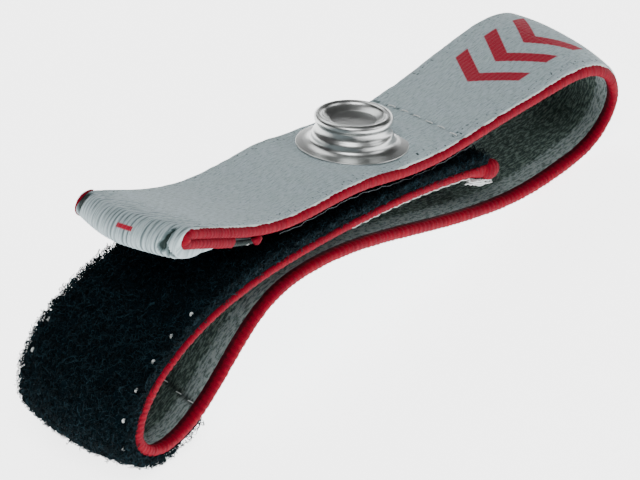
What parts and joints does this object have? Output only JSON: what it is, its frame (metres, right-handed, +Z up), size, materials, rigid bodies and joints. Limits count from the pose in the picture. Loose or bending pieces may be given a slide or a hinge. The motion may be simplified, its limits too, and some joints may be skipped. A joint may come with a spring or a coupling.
{
  "type": "esd wrist strap",
  "caption": "Elastic grounding wrist strap: knitted band folded in a flattened spiral, hook-and-loop closure with hemmed pull tab, ribbed edges and a snap stud for the cord.",
  "frame": {"origin": "middle of the underside of the strap's box, on the surface that it lies on", "axes": "+X along the strap towards the right bend, +Y across it towards the back edge, +Z up"},
  "size_m": [0.0976, 0.0178, 0.0332],
  "materials": {
    "knit_face": "fine vertical knit, matt light blue-grey polyester",
    "elastic": "covered elastic threads inside the band",
    "conductive_lining": "dark green-grey knit with conductive yarn, lighter margins",
    "selvedge": "ribbed red edge yarn",
    "loop_pile": "fuzzy black loop pile",
    "tape_backing": "black woven nylon tape",
    "hooks": "black nylon hooks",
    "thread": "silver-grey sewing thread",
    "snap_metal": "bright nickel-plated pressed metal"
  },
  "bodies": {
    "bottom_band": {"elastic_core_base": "elastic", "lining_base": "conductive_lining", "loop_backing_base": "tape_backing", "loop_pile_base": "loop_pile", "loop_tape_stitches": "thread", "outer_knit_base": "knit_face", "selvedge_back_base": "selvedge", "selvedge_front_base": "selvedge"},
    "top_flap": {"backing_washer": "snap_metal", "elastic_core_flap": "elastic", "hook_backing": "tape_backing", "hook_field": "hooks", "hook_tape_stitches": "thread", "lining_flap": "conductive_lining", "outer_knit_flap": "knit_face", "rivet_post": "snap_metal", "selvedge_back_flap": "selvedge", "selvedge_front_flap": "selvedge", "snap_stud": "snap_metal"},
    "pull_tab": {"elastic_core_tab": "elastic", "lining_tab": "conductive_lining", "outer_knit_tab": "knit_face", "selvedge_back_tab": "selvedge", "selvedge_front_tab": "selvedge", "tab_hem_fold": "knit_face", "tab_hem_return": "knit_face", "tab_hem_selvedges": "selvedge", "tab_hem_stitches": "thread"},
    "inner_tail": {"elastic_core_tail": "elastic", "lining_tail": "conductive_lining", "loop_backing_tail": "tape_backing", "loop_edge_stitches": "thread", "loop_pile_tail": "loop_pile", "outer_knit_tail": "knit_face", "selvedge_back_tail": "selvedge", "selvedge_front_tail": "selvedge", "tail_end_stitches": "thread", "tail_hem_fold": "selvedge", "tail_hem_return": "knit_face", "tail_hem_selvedges": "selvedge"}
  },
  "joints": [
    {"name": "flap_peel", "type": "hinge", "parent": "bottom_band", "child": "top_flap", "pos_m": [0.04676, -0.0089, 0.00625], "axis": [0.1119, 0.9937, -0.004], "range_deg": [0, 75]},
    {"name": "tail_lift", "type": "hinge", "parent": "bottom_band", "child": "inner_tail", "pos_m": [-0.0486, -0.0089, 0.00823], "axis": [0.0089, -0.9999, -0.0062], "range_deg": [0, 15]},
    {"name": "tab_lift", "type": "hinge", "parent": "top_flap", "child": "pull_tab", "pos_m": [-0.02091, -0.0089, 0.02533], "axis": [0.0085, 0.9854, -0.17], "range_deg": [0, 35]}
  ],
  "couplings": [
    {"joint": "tail_lift", "follows": "flap_peel", "ratio": 0.2}
  ]
}
